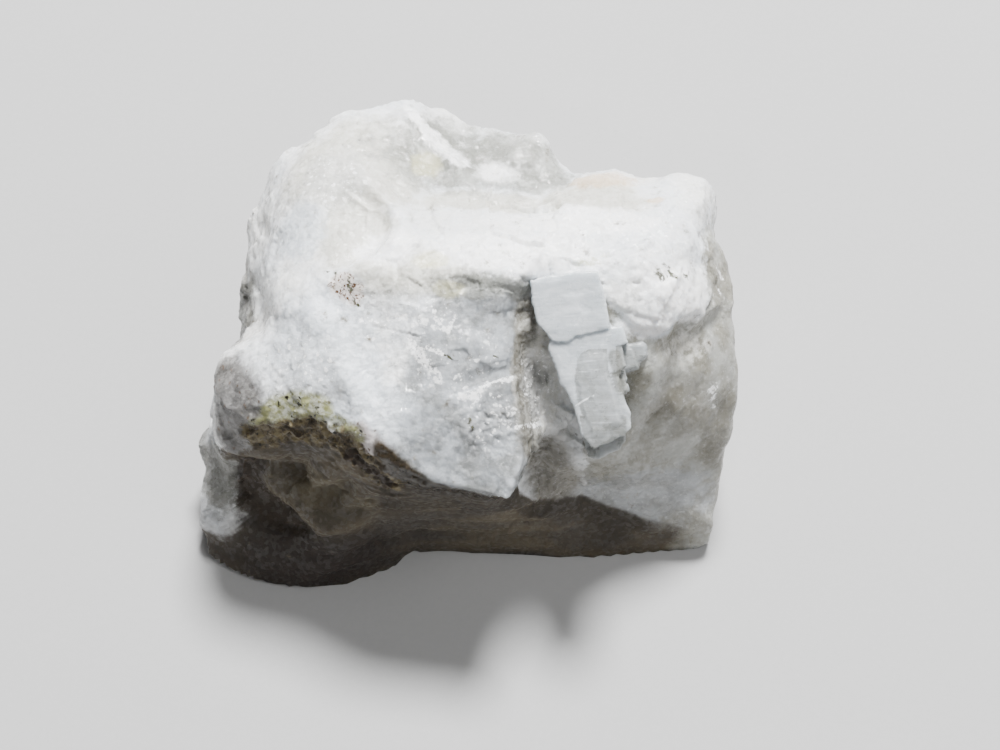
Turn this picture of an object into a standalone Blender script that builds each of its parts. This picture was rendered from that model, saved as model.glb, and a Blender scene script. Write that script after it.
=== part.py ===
"""Fluorite on albite, a hand specimen: a white stone with three clear masses grown on it.

The stone is star shaped: seen from a core point inside it, every landmark lies on a ray of
its own. The landmarks are in millimetres for a specimen 54.3 long, X along its length, Y from
the broken front to the back, Z up from the flat it rests on. LENGTH sets the real size.
"""

import bmesh
import bpy
import numpy as np
from mathutils import Euler, Vector

LENGTH = 0.0543  # over all, in metres
LANDMARK_LENGTH = 54.3  # the same length in the landmarks' millimetres
MM = LENGTH / LANDMARK_LENGTH

CORE = (1.0, 4.0, 17.0)  # every landmark can be seen from here
SMOOTHING = 2  # subdivision levels between landmarks
STONE_TRIANGLES = 6800
GAP = 0.3  # clearance between two pieces that touch

# fracture flats on the back and underside, where the stone broke from its vein
BACK_FLATS = 22
BACK_FLAT_RADIUS = 7.0
BACK_FLAT_BITE = 0.4
BACK_FLATS_TOP = 21.0  # they fade out below the rim
SEED = 12

# worn layers along the foot of the front wall
WALL_LAYER_PITCH = 3.4
WALL_LAYER_DEPTH = 0.2
WALL_TOP = 15.0
WALL_Y = -8.0

# fluorite is set into pockets, each a cone of rays from the core
TONGUE_DEPTH = 4.5
SIDE_DEPTH = 6.0
POCKET_REACH = 1.7  # how far past the surface a pocket's cone runs

# the cleaved block: its face's upper left corner and its turn
BLOCK_CORNER = (5.8, 3.1, 33.3)
BLOCK_TURN = (30.3, -1.0, 0.0)  # degrees

COLOURS = {
    "albite_matrix": ((0.78, 0.77, 0.73), 0.6),
    "fluorite_tongue": ((0.62, 0.66, 0.68), 0.2),
    "fluorite_side": ((0.52, 0.54, 0.47), 0.3),
    "fluorite_block": ((0.66, 0.71, 0.74), 0.25),
}

# landmarks on the stone, in runs along its edges and patches between them
LANDMARKS = {
    "rim_left": [(-21.5, 16.7, 23), (-20.5, 18.6, 25), (-18.8, 21.4, 27), (-16.8, 22.1, 28),
        (-14.6, 23.8, 28.5), (-12.3, 25.2, 29), (-9.7, 25.4, 29), (-7.7, 26, 29),
        (-5.8, 26.2, 29)],
    "rim_back": [(-3.7, 26.1, 28.5), (-1.7, 25.4, 28), (0.1, 24.5, 27.5), (1.8, 24.2, 27.5),
        (3.6, 23.8, 27), (5.3, 23.6, 27), (6.4, 23.1, 28), (7.4, 22.6, 28), (8, 21.9, 27),
        (9.3, 20.7, 26), (10.3, 19.8, 26)],
    "rim_shelf": [(12.5, 19.2, 27), (15.2, 18.5, 28), (16.9, 18, 28), (18.7, 17.6, 28.5),
        (20.1, 17.9, 29), (22, 17.5, 29), (23.5, 17.1, 28.5), (24.3, 15.6, 26.5),
        (23.4, 15.1, 25.5)],
    "rim_right": [(23.9, 13.6, 25.3), (24.7, 12.2, 24.8), (25.4, 10.2, 24), (25.7, 8.1, 23),
        (25.9, 6.5, 22), (26.1, 4.2, 20.5), (26.3, 2.5, 19), (26.4, 0.6, 17), (26, -1.7, 14.5),
        (25.6, -3.6, 11.5), (25.1, -5.8, 8), (24.6, -7.5, 5), (24.6, -9, 2)],
    "foot_front": [(24.1, -9.2, 0), (21.8, -9.6, 0), (17.5, -10, 0), (13.3, -10.4, 0),
        (9.2, -10.4, 0), (5.1, -10.1, 0), (0.9, -10, 0), (-3.2, -9.8, 0), (-5.8, -9.8, 0)],
    "lobe_foot": [(-7.3, -10.8, 0), (-9.2, -12, 0), (-11.2, -12.9, 0), (-13.4, -13.5, 0),
        (-16.3, -13.8, 0.3), (-19.1, -13.7, 0.3), (-21.8, -13.1, 0.5), (-24.2, -12.2, 0.5),
        (-26.3, -10.9, 0.6), (-27.2, -9.2, 1.5)],
    "lobe_left": [(-28, -8.2, 3.5), (-27.6, -7.3, 5), (-26.1, -6.7, 7), (-26.3, -4.8, 7.5),
        (-27.2, -2.8, 7), (-27.6, -1.2, 7.5), (-27.2, -0.8, 9), (-26.2, -0.7, 10)],
    "ledge_left": [(-23.9, -6.2, 18.5), (-24.1, -5.6, 19.5), (-24, -4.3, 20.5),
        (-24.4, -3.2, 21.5), (-24.2, -1.2, 22.5), (-23.7, 0.8, 23), (-22.8, 1.7, 23),
        (-21.5, 2.7, 22.5)],
    "west_blob": [(-23, 6.7, 16), (-23.5, 8.2, 17), (-23.3, 9.9, 18), (-22.3, 9.7, 19.5)],
    "west": [(-22.2, 11.9, 21), (-22.1, 15.1, 21), (-22.1, 16.6, 21.5)],
    "dome_left": [(-19.9, 3.4, 23.5), (-20, 5.8, 24), (-20.6, 8.4, 24), (-20.9, 10.7, 24),
        (-21, 13.6, 23.5)],
    "dome": [(-18.4, 14.1, 29), (-17.9, 17.6, 29), (-16.8, 7.3, 30), (-16, 17.7, 30.5),
        (-13.4, 19.5, 31.3), (-14, 11.4, 32.3), (-11.2, 14.5, 32.7), (-11.9, 7.6, 32.3),
        (-10.1, 20.7, 31.3), (-8, 17.4, 31.8), (-7.3, 13.4, 31.8), (-7.3, 10.1, 31.8),
        (-8.9, 6.6, 32), (-11.4, 5.5, 32.3), (-14.6, 3.7, 31.5), (-18.5, 3.8, 28.5),
        (-19.5, 9.7, 27), (-18.7, 1.4, 27)],
    "hollow": [(-6.3, 22.4, 30.5), (-2.9, 20.7, 29.6), (0.1, 18.7, 29), (-4.2, 16.3, 30),
        (3, 19.8, 28.3), (5.9, 19.9, 28.2), (8.4, 17.9, 27.7), (-0.4, 13.9, 30.3), (4, 15.5, 29.6),
        (7.3, 14.2, 29.7)],
    "ridge_gloss": [(-5, 23.3, 30.5), (-2.3, 19.6, 30.3), (0.3, 16.8, 30)],
    "band": [(-6.3, 7, 33.2), (-3.6, 9.5, 32.7), (0.7, 9.6, 32.6), (4.9, 10.1, 32.3),
        (8.7, 12.5, 31.5), (12.1, 14.9, 30.5), (8.5, 6.1, 33.8), (5.3, 4.7, 34), (12.3, 7.4, 33.5),
        (16.3, 12.6, 31.4), (16.1, 8.5, 32.6), (20.1, 12.8, 31), (21.6, 11.4, 30.3),
        (1.2, 6.1, 33.8), (-2.6, 6.2, 33.6)],
    "brow": [(-6.7, 4.1, 33.2), (-3.4, 3.9, 33.5), (0.2, 3.4, 33.6), (3, 2.6, 33.5)],
    "right_face": [(16, 4.8, 32.3), (13.6, 4.7, 33.4), (18.9, 6.2, 31.5), (22, 9, 29),
        (22, 6.9, 28)],
    "cap_top": [(14.1, 0.6, 31.2), (16.4, 1.4, 30.8), (18.7, 2.6, 30.2), (20.9, 4.1, 29),
        (22.6, 5.9, 27.5)],
    "cap_edge": [(14.5, -1.2, 28.6), (16.5, -0.4, 28.4), (17.8, 0.2, 28.2), (19.9, 1.4, 27.6),
        (21.7, 2.5, 27), (23.3, 4.3, 26), (25, 6.3, 24)],
    "recess_top": [(16.2, -0.4, 26), (18, 0.5, 25.6), (20.1, 1.7, 25), (22.2, 2.9, 24.3),
        (23.9, 4.4, 23.3)],
    "recess": [(16.3, -2.1, 23.5), (18.7, -1.1, 23.8), (21.2, -0.2, 23), (23.9, 1.6, 21.8),
        (16.9, -3.7, 20.5), (19.3, -3.3, 20.7), (22.4, -2.2, 19.6), (24.8, -0.6, 17.5),
        (17.6, -5.4, 16.2), (21.1, -4.9, 16.3), (24, -3.7, 14)],
    "foot_top": [(10.4, -7.5, 11), (13, -7.3, 9.5), (16, -6.9, 9.5), (19, -6.6, 9.5),
        (22.1, -6.6, 8.8)],
    "foot_edge": [(11.8, -8.2, 6.8), (14.6, -8.4, 6.5), (17.7, -8.5, 6.4), (20.7, -8.4, 6.3),
        (23.6, -8.2, 6)],
    "foot_face": [(22.5, -9.1, 2.8), (18.3, -9.3, 3.2), (13.2, -9.4, 3.5)],
    "slope": [(-11.8, 4.3, 32.3), (-9, 1.9, 31.9), (-12, 1.2, 31.2), (-10.7, -1.8, 29.9),
        (-7.9, -1.1, 30.6), (-4.3, 0.6, 32.2), (-5.7, -3.7, 29.6), (-9.2, -4.8, 28.7),
        (-6.9, -7.3, 27.6), (-4.3, -1.9, 31), (-5.8, -9.4, 26.2)],
    "fan_ridge": [(-14.9, 0.5, 31), (-13.4, -2, 30.3), (-12, -4.2, 29.6), (-10.6, -6.6, 28.6),
        (-9.3, -8.5, 27.5), (-8.2, -10, 26.3)],
    "ledge": [(-20.5, -1.7, 25.8), (-17.9, -0.7, 28), (-15.5, -2.9, 28.6), (-18.8, -4.6, 26.4),
        (-21.7, -3.9, 25), (-22.1, -6.3, 23), (-15.5, -5.3, 27.3), (-12.9, -6.3, 27.2),
        (-17.1, 1.2, 29.3)],
    "dirt": [(-19.3, -6.9, 24.3), (-16.6, -6.5, 25.5), (-13.9, -7.3, 25.8), (-11.8, -8.5, 25.7),
        (-9.8, -9.8, 25.2)],
    "dirt_low": [(-20.8, -7.1, 20.5), (-17.8, -7.1, 22.3), (-14.9, -7.8, 22.3),
        (-12.3, -9.1, 21.7), (-9.4, -10.5, 21)],
    "lip": [(-22.9, -6.8, 17.5), (-21.4, -7.7, 18), (-19.4, -7.7, 19.3), (-17.3, -7.4, 20),
        (-14.7, -8, 19.8), (-12, -9.4, 19), (-9.3, -11.2, 18), (-6.5, -11.6, 18.3)],
    "lip_under": [(-22.7, -6.1, 12.5), (-20.9, -6.3, 13), (-19, -6.2, 13.8), (-17.1, -6, 14.5),
        (-14.8, -6.6, 14.5), (-12.4, -8.1, 14), (-10.1, -9.7, 12.5)],
    "crest": [(-7, -11.4, 24.8), (-5.1, -12, 24.2), (-2.9, -12.8, 23.6), (-0.7, -13.1, 23.4),
        (1.1, -13.5, 23.2), (3, -13.9, 23), (4.2, -13.9, 23.3)],
    "tongue_edge": [(4.8, -12.6, 24), (4.9, -10.7, 25), (4.9, -8.6, 26), (4.8, -7, 27),
        (4.3, -5.1, 28.3), (4, -3, 29.3), (3.9, -1, 30.3), (4.1, 1.1, 31.3)],
    "tongue": [(-1.6, 1.8, 32), (1.2, 0.8, 31.8), (-0.7, -1.8, 30.9), (1.6, -2.2, 30.6),
        (1.2, -4.9, 28.9), (-2.5, -5.1, 29.3), (-3.4, -8.2, 27.2), (0.2, -8.2, 27.3),
        (3, -6.4, 27.8), (3, -9.5, 25.7), (0.7, -10.7, 25), (-2.1, -10.8, 25.2),
        (3, -12.1, 24.3)],
    "valley": [(5.2, 1.4, 29.3), (5.8, -0.4, 27.3), (6.3, -2.2, 25.3), (6.9, -4.1, 23.3),
        (7.5, -5.7, 21.3)],
    "under": [(5.9, -6.8, 17), (8.8, -7.4, 17.5), (8.4, -7.9, 13.5), (5.9, -8.1, 14),
        (6, -9.1, 11.5), (9.2, -8.7, 10.5)],
    "wall_top": [(-6.7, -10.8, 14.5), (-3.8, -10.9, 15.5), (-0.4, -10.8, 14.5), (3, -10.6, 13.5)],
    "wall": [(-4.1, -9.7, 6), (0, -9.7, 6), (4, -9.6, 5.8), (-7.1, -10.2, 6.5), (8.1, -9.5, 5.5)],
    "block_left": [(5.5, 3.3, 32.4), (6.7, 0.7, 30.6), (7.7, -1.4, 29.2), (9, -4.3, 26.8),
        (9.8, -6.8, 24.4)],
    "block_seat": [(9, 2.1, 30.5), (10.9, -0.7, 28), (12.1, -4.2, 24.5), (12.8, -6.4, 20.5)],
    "block_right": [(12.8, 3.1, 33), (13.3, 0.8, 31.8), (13.8, -0.8, 30)],
    "block_foot": [(11.5, -7.2, 17.5), (14.4, -6.9, 17)],
    "bulge": [(-15.1, -8.5, 14.3), (-12.2, -9.8, 13), (-10.3, -10.8, 10.5), (-13.7, -11.5, 11.5),
        (-16.1, -9.6, 12.5), (-11.9, -11.6, 8.5), (-14.9, -11.9, 8)],
    "cavity": [(-23.1, -6.9, 9), (-20.8, -7.1, 9.5), (-18.4, -7.6, 11), (-21.6, -8.4, 7.5),
        (-18.9, -9.4, 7.8)],
    "lobe": [(-23.8, -8.8, 6), (-24.7, -6.4, 8), (-20.8, -11.1, 5), (-17.1, -11.9, 5.5),
        (-13.1, -12.5, 5.5), (-9.2, -10.9, 4.5), (-6.1, -9.8, 4.5), (-25, -3.5, 10)],
    "back_top": [(-19, 19, 22), (-12, 23.5, 22), (-4, 24.5, 21), (5, 22, 20), (11, 17.5, 18),
        (18, 16, 20), (23, 14, 21)],
    "back_mid": [(-22, 13, 13), (-18, 20, 12), (-9, 24, 10), (1, 23, 10), (10, 18, 9),
        (18, 16, 10), (24, 12, 12), (25.5, 7, 12)],
    "back_foot": [(-21, 10, 0), (-15, 17, 0), (-6, 20, 0), (3, 19, 0), (11, 15.5, 0), (18, 13, 0),
        (23.5, 7, 0), (24.5, 0, 0), (24, -6, 0)],
    "west_low": [(-23.5, 8, 10), (-24.5, 3, 8), (-24, 3, 0), (-25.5, -4, 0), (-23, 10, 17)],
    "base": [(-14, 5, 0), (0, 5, 0), (12, 4, 0), (-14, -8, 0), (0, -6, 0), (14, -5, 0)],
    "east_low": [(26, 3, 8), (25.5, -3, 6)],}

# how sharply the surface folds along a run of landmarks, 0 soft to 1 a clean edge
FOLDS = {
    "rim_left": 0.3, "rim_back": 0.5, "rim_shelf": 0.6, "foot_front": 1.0, "lobe_foot": 1.0,
    "ledge_left": 0.3, "dome_left": 0.4, "cap_top": 0.5, "cap_edge": 1.0, "recess_top": 0.6,
    "foot_edge": 0.7, "fan_ridge": 0.15, "lip": 0.9, "lip_under": 0.4, "crest": 1.0,
    "tongue_edge": 0.9, "valley": 0.5, "ridge_gloss": 0.6, "brow": 0.3,
}

# corners of each fluorite pocket on the stone's surface, in order round it
TONGUE_CORNERS = [(4.3, 2.2, 32.0), (-3.0, 2.5, 33.0), (-7.6, -8.0, 27.0), (-6.8, -11.6, 21.0),
    (5.2, -11.5, 18.5), (5.6, -4.0, 25.0)]
SIDE_CORNERS = [(12.5, -1.6, 25.5), (24.2, 5.0, 23.0), (26.0, 7.0, 16.0), (25.8, 0.0, 9.0),
    (12.5, -7.6, 10.5), (10.8, -6.6, 18.5)]

# crystals of the block: outline on its cleavage face (across, down), how far the crystal's
# own face stands above (+) or below (-) the head's, and how deep it runs below that level
BLOCK_CRYSTALS = {
    "head": ([(0.0, 0.0), (6.3, -0.8), (6.8, -0.5), (7.7, 5.0), (5.6, 5.1), (4.9, 5.6),
        (2.2, 5.5)], 0.0, 9.0),
    "slab": ([(1.8, 3.5), (7.4, 3.5), (8.7, 6.0), (8.9, 8.3), (8.2, 8.9), (8.5, 10.3),
        (9.3, 11.2), (9.3, 14.4), (8.8, 15.4), (5.0, 15.5), (3.9, 11.7)], -0.8, 8.5),
    "plate": ([(4.5, 6.7), (7.1, 6.3), (7.7, 10.4), (9.1, 12.6), (9.1, 14.1), (5.9, 15.4),
        (4.7, 14.3), (3.9, 11.6)], -0.35, 4.0),
    "foot": ([(4.4, 12.5), (8.8, 12.5), (8.7, 16.4), (5.7, 17.0)], -2.2, 7.4),
    "tooth": ([(7.8, 6.1), (11.1, 5.7), (11.0, 7.0), (10.4, 7.6), (10.2, 8.6), (7.8, 8.8)],
        -2.4, 6.2),
    "shoulder": ([(6.6, 4.3), (8.6, 4.1), (9.2, 5.9), (6.8, 6.3)], -0.5, 5.1),
}


def add_object(name, mesh):
    obj = bpy.data.objects.new(name, mesh)
    bpy.context.scene.collection.objects.link(obj)
    return obj


def evaluated_mesh(obj):
    """A copy of the object's mesh as its modifiers leave it."""
    graph = bpy.context.evaluated_depsgraph_get()
    graph.update()
    return bpy.data.meshes.new_from_object(obj.evaluated_get(graph), depsgraph=graph)


def positions(mesh):
    values = np.empty(len(mesh.vertices) * 3)
    mesh.vertices.foreach_get("co", values)
    return values.reshape(-1, 3)


def set_positions(mesh, values):
    mesh.vertices.foreach_set("co", values.ravel())
    mesh.update()


def landmark_cage():
    """The landmarks as a closed cage: their directions from the core form a convex ball
    whose faces say which landmarks are neighbours, and each is then put at its own reach."""
    bm = bmesh.new()
    reach = bm.verts.layers.float.new("reach")
    core = Vector(CORE)
    runs = {}
    for region, points in LANDMARKS.items():
        runs[region] = []
        for point in points:
            arm = Vector(point) - core
            vert = bm.verts.new(arm.normalized())
            vert[reach] = arm.length
            runs[region].append(vert)
    bmesh.ops.convex_hull(bm, input=bm.verts)
    for vert in bm.verts:
        vert.co = (core + vert.co * vert[reach]) * MM
    fold = bm.edges.layers.float.new("crease_edge")
    for region, sharpness in FOLDS.items():
        for start, end in zip(runs[region], runs[region][1:]):
            edge = bm.edges.get((start, end))
            if edge:
                edge[fold] = sharpness
    bmesh.ops.recalc_face_normals(bm, faces=bm.faces)
    mesh = bpy.data.meshes.new("cage")
    bm.to_mesh(mesh)
    bm.free()
    return mesh


def smoothed_through_landmarks(cage):
    """Smooths the cage, first moving it out so that the smooth surface meets the landmarks."""
    obj = add_object("cage", cage)
    smooth = obj.modifiers.new("Smooth", "SUBSURF")
    smooth.levels = SMOOTHING
    smooth.render_levels = SMOOTHING
    landmarks = positions(cage)
    for _ in range(2):
        drawn_in = positions(evaluated_mesh(obj))[:len(landmarks)]
        set_positions(cage, positions(cage) + 0.8 * (landmarks - drawn_in))
    mesh = evaluated_mesh(obj)
    bpy.data.objects.remove(obj)
    return mesh


def break_back_flats(points, normals):
    """Breaks flats across the back: in a small disc, what stands above the disc's own mean
    plane, less a bite, is pressed down to it."""
    draw = np.random.default_rng(SEED)
    hidden = np.flatnonzero((points[:, 1] > 8.0) & (np.abs(points[:, 2] - 9.0) < 7.0))
    fade = np.clip((BACK_FLATS_TOP - points[:, 2]) / 4.0, 0.0, 1.0)
    for centre in points[draw.choice(hidden, BACK_FLATS, replace=False)].copy():
        radius = BACK_FLAT_RADIUS * draw.uniform(0.6, 1.2)
        away = points - centre
        near = np.einsum("ij,ij->i", away, away) < radius ** 2
        out = normals[near].mean(axis=0)
        out /= np.linalg.norm(out)
        height = away[near] @ out
        plane = height.mean() + BACK_FLAT_BITE
        points[near] -= np.outer(np.maximum(height - plane, 0.0) * fade[near], out)


def wear_wall_layers(points):
    """Wears soft level layers into the front wall, fading out at its top and at its ends."""
    fade = np.clip((WALL_Y - points[:, 1]) / 1.5, 0.0, 1.0)
    fade *= np.clip((WALL_TOP - points[:, 2]) / 2.0, 0.0, 1.0)
    fade *= np.clip(points[:, 2] / 1.5, 0.0, 1.0)
    level = points[:, 2] + 0.06 * points[:, 0]
    points[:, 1] += WALL_LAYER_DEPTH * fade * np.sin(2 * np.pi * level / WALL_LAYER_PITCH)


def stone_mesh():
    """The whole stone before its fluorite is parted from it, flat underneath."""
    mesh = smoothed_through_landmarks(landmark_cage())
    points = positions(mesh) / MM
    normals = np.empty(len(points) * 3)
    mesh.vertex_normals.foreach_get("vector", normals)
    break_back_flats(points, normals.reshape(-1, 3))
    wear_wall_layers(points)
    set_positions(mesh, points * MM)

    obj = add_object("stone", mesh)
    thin = obj.modifiers.new("Thin", "DECIMATE")
    triangles = sum(len(face.vertices) - 2 for face in mesh.polygons)
    thin.ratio = STONE_TRIANGLES / triangles
    thin.use_collapse_triangulate = True
    thinned = evaluated_mesh(obj)
    bpy.data.objects.remove(obj)

    bm = bmesh.new()
    bm.from_mesh(thinned)
    everything = bm.verts[:] + bm.edges[:] + bm.faces[:]
    bmesh.ops.bisect_plane(bm, geom=everything, plane_co=(0, 0, 0), plane_no=(0, 0, -1),
        clear_outer=True)
    rim = [edge for edge in bm.edges if edge.is_boundary]
    bmesh.ops.edgeloop_fill(bm, edges=rim)
    bmesh.ops.recalc_face_normals(bm, faces=bm.faces)
    bm.to_mesh(thinned)
    bm.free()
    return thinned


def hull_mesh(name, points, margin):
    """The convex solid through the points, grown by a margin on every side."""
    bm = bmesh.new()
    for point in points:
        for corner in np.ndindex(2, 2, 2):
            shift = Vector(corner) * 2 - Vector((1, 1, 1))
            bm.verts.new((Vector(point) + shift * margin) * MM)
    if margin == 0:
        bmesh.ops.remove_doubles(bm, verts=bm.verts, dist=1e-7)
    made = bmesh.ops.convex_hull(bm, input=bm.verts)
    loose = [item for item in made["geom_interior"] if isinstance(item, bmesh.types.BMVert)]
    bmesh.ops.delete(bm, geom=loose, context="VERTS")
    bmesh.ops.recalc_face_normals(bm, faces=bm.faces)
    mesh = bpy.data.meshes.new(name)
    bm.to_mesh(mesh)
    bm.free()
    return mesh


def cone_points(corners, depth):
    """Corners of a pocket: each surface corner taken inward by depth and out past the stone."""
    core = Vector(CORE)
    points = []
    for corner in corners:
        arm = Vector(corner) - core
        points.append(core + arm * (1 - depth / arm.length))
        points.append(core + arm * POCKET_REACH)
    return points


def block_points(outline, height):
    """An outline on the block's cleavage face, raised by height along that face's normal."""
    turn = Euler(np.radians(BLOCK_TURN)).to_matrix()
    corner = Vector(BLOCK_CORNER)
    return [corner + turn @ Vector((across, -down, height)) for across, down in outline]


def crystal_mesh(name, outline, height, depth):
    """One crystal of the block: its outline carried straight down from its face."""
    bm = bmesh.new()
    face = bm.faces.new([bm.verts.new(point * MM) for point in block_points(outline, height)])
    base = bmesh.ops.extrude_face_region(bm, geom=[face])
    rear = [item for item in base["geom"] if isinstance(item, bmesh.types.BMVert)]
    shift = block_points([(0, 0)], -depth)[0] - block_points([(0, 0)], height)[0]
    bmesh.ops.translate(bm, vec=shift * MM, verts=rear)
    bmesh.ops.recalc_face_normals(bm, faces=bm.faces)
    mesh = bpy.data.meshes.new(name)
    bm.to_mesh(mesh)
    bm.free()
    return mesh


def add_cutter(name, mesh):
    cutter = add_object(name, mesh)
    cutter.hide_render = True
    cutter.display_type = "WIRE"
    return cutter


def add_boolean(obj, operation, other):
    step = obj.modifiers.new(other.name, "BOOLEAN")
    step.operation = operation
    step.object = other
    step.solver = "EXACT"


def fused(name, meshes):
    """One cutter made by uniting overlapping solids."""
    first, *others = meshes
    whole = add_cutter(name, first)
    for count, mesh in enumerate(others):
        add_boolean(whole, "UNION", add_cutter(f"{name}_{count + 1}", mesh))
    return whole


def give_material(obj):
    colour, roughness = COLOURS[obj.name]
    material = bpy.data.materials.new(obj.name)
    material.use_nodes = True
    shader = material.node_tree.nodes["Principled BSDF"]
    shader.inputs["Base Color"].default_value = (*colour, 1.0)
    shader.inputs["Roughness"].default_value = roughness
    shader.inputs["Metallic"].default_value = 0.0
    obj.data.materials.clear()
    obj.data.materials.append(material)


def build():
    for obj in list(bpy.data.objects):
        bpy.data.objects.remove(obj)

    stone = stone_mesh()
    tongue_cone = cone_points(TONGUE_CORNERS, TONGUE_DEPTH)
    side_cone = cone_points(SIDE_CORNERS, SIDE_DEPTH)
    tongue_cutter = add_cutter("tongue_cutter", hull_mesh("tongue_cutter", tongue_cone, 0))
    tongue_pocket = add_cutter("tongue_pocket", hull_mesh("tongue_pocket", tongue_cone, GAP))
    side_cutter = add_cutter("side_cutter", hull_mesh("side_cutter", side_cone, 0))
    side_pocket = add_cutter("side_pocket", hull_mesh("side_pocket", side_cone, GAP))
    sockets = []
    for name, (outline, height, depth) in BLOCK_CRYSTALS.items():
        corners = block_points(outline, height) + block_points(outline, -depth)
        sockets.append(hull_mesh(f"{name}_socket", corners, GAP))
    block_pocket = fused("block_pocket", sockets)

    matrix = add_object("albite_matrix", stone)
    for pocket in (tongue_pocket, side_pocket, block_pocket):
        add_boolean(matrix, "DIFFERENCE", pocket)
    tongue = add_object("fluorite_tongue", stone.copy())
    add_boolean(tongue, "INTERSECT", tongue_cutter)
    add_boolean(tongue, "DIFFERENCE", block_pocket)
    side = add_object("fluorite_side", stone.copy())
    add_boolean(side, "INTERSECT", side_cutter)
    add_boolean(side, "DIFFERENCE", block_pocket)
    (first, form), *rest = BLOCK_CRYSTALS.items()
    block = add_object("fluorite_block", crystal_mesh(first, *form))
    for name, form in rest:
        add_boolean(block, "UNION", add_cutter(name, crystal_mesh(name, *form)))

    pieces = (matrix, tongue, side, block)
    ends = []
    for piece in pieces:
        give_material(piece)
        points = positions(evaluated_mesh(piece))
        ends += [points.min(axis=0), points.max(axis=0)]
    low = np.min(ends, axis=0)
    high = np.max(ends, axis=0)
    specimen = add_object("specimen", None)
    specimen.location = (-(low[0] + high[0]) / 2, -(low[1] + high[1]) / 2, -low[2])
    for obj in list(bpy.data.objects):
        if obj != specimen:
            obj.parent = specimen


build()
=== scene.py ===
import math

import bpy
import numpy as np
from mathutils import Euler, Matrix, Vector


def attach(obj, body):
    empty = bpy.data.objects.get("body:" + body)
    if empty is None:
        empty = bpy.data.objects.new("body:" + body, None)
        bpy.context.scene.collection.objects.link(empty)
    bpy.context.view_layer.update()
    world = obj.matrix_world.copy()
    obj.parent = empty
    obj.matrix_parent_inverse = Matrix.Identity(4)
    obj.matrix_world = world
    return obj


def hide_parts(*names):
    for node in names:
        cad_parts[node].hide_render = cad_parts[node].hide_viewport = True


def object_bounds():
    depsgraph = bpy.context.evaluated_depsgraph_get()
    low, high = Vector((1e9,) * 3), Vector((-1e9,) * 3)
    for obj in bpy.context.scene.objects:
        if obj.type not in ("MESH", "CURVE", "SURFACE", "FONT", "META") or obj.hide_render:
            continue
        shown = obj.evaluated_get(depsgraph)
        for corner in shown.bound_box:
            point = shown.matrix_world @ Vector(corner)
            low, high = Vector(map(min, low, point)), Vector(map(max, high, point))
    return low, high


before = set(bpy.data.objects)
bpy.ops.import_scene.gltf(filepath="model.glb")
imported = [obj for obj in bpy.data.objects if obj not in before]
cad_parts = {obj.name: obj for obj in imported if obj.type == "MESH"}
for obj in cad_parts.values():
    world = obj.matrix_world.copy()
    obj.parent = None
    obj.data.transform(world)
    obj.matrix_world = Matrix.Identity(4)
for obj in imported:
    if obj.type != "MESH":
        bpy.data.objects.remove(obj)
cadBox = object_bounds()
mm = 0.001

# noise in space: every function takes points in millimetres, one row each


def lattice(cell, seed):
    # three whole numbers mixed into one random value, 0 to 1
    x, y, z = (cell[..., axis].astype(np.int64).astype(np.uint64) for axis in range(3))
    mixed = x * np.uint64(73856093) ^ y * np.uint64(19349663) ^ z * np.uint64(83492791)
    mixed = (mixed ^ np.uint64(seed * 2654435761 % 2 ** 32)) & np.uint64(0xFFFFFFFF)
    for shift in (16, 15, 13):
        mixed = (mixed ^ (mixed >> np.uint64(shift))) * np.uint64(0x45D9F3B) & np.uint64(0xFFFFFFFF)
    return (mixed ^ (mixed >> np.uint64(16))) / 2.0 ** 32


def lengths(rows):
    return np.linalg.norm(rows, axis=1)


def unit(rows):
    # each row made one long
    return rows / lengths(rows)[:, None]


def eased(part):
    # 3t2 - 2t3: level at 0 and at 1
    return part * part * (3 - 2 * part)


def ramp(low, high, value):
    # 0 at low and before, 1 at high and beyond, eased between
    return eased(np.clip((value - low) / (high - low), 0.0, 1.0))


def softNoise(points, size, seed):
    # random values at the corners of a lattice, eased between them, -1 to 1
    grid = points / size
    cell = np.floor(grid)
    part = eased(grid - cell)
    total = np.zeros(len(points))
    for corner in np.ndindex(2, 2, 2):
        weight = np.prod(np.where(corner, part, 1 - part), axis=1)
        total += weight * lattice(cell + corner, seed)
    return total * 2 - 1


def roughNoise(points, size, octaves, seed):
    # soft noise, each octave half the size and 0.55 of the height of the last
    total = np.zeros(len(points))
    for octave in range(octaves):
        total += softNoise(points, size / 2 ** octave, seed + octave) * 0.55 ** octave
    return total


def chips(points, size, seed):
    # space parted into cells round scattered seeds; in each, the height follows a plane of
    # the cell's own random tilt, which makes flat facets with small steps between them
    grid = points / size
    cell = np.floor(grid - 0.5)
    nearest = np.full(len(points), 9.0)
    height = np.zeros(len(points))
    for corner in np.ndindex(2, 2, 2):
        home = cell + corner
        jitter = np.stack([lattice(home, seed + axis) for axis in range(3)], axis=1)
        tilt = np.stack([lattice(home, seed + 3 + axis) for axis in range(3)], axis=1) * 2 - 1
        away = grid - home - jitter
        distance = lengths(away)
        plane = np.einsum("ij,ij->i", away, tilt) + 0.4 * tilt[:, 0]
        height = np.where(distance < nearest, plane, height)
        nearest = np.minimum(nearest, distance)
    return height


def fromLine(points, start, end):
    # the offset of each point from the nearest point of a line
    start, along = np.array(start), np.subtract(end, start)
    part = np.clip((points - start) @ along / (along @ along), 0.0, 1.0)
    return points - start - part[:, None] * along


def blob(points, centre, radius, edge=0.5):
    # 1 inside an ellipsoid, fading to 0 across its rim
    away = (points - centre) / radius
    return 1 - ramp(1 - edge, 1 + edge, lengths(away))


def streak(points, start, end, radius):
    # 1 along a line, fading to 0 across the radius
    away = lengths(fromLine(points, start, end)) / radius
    return 1 - ramp(0.4, 1.6, away)


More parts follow.
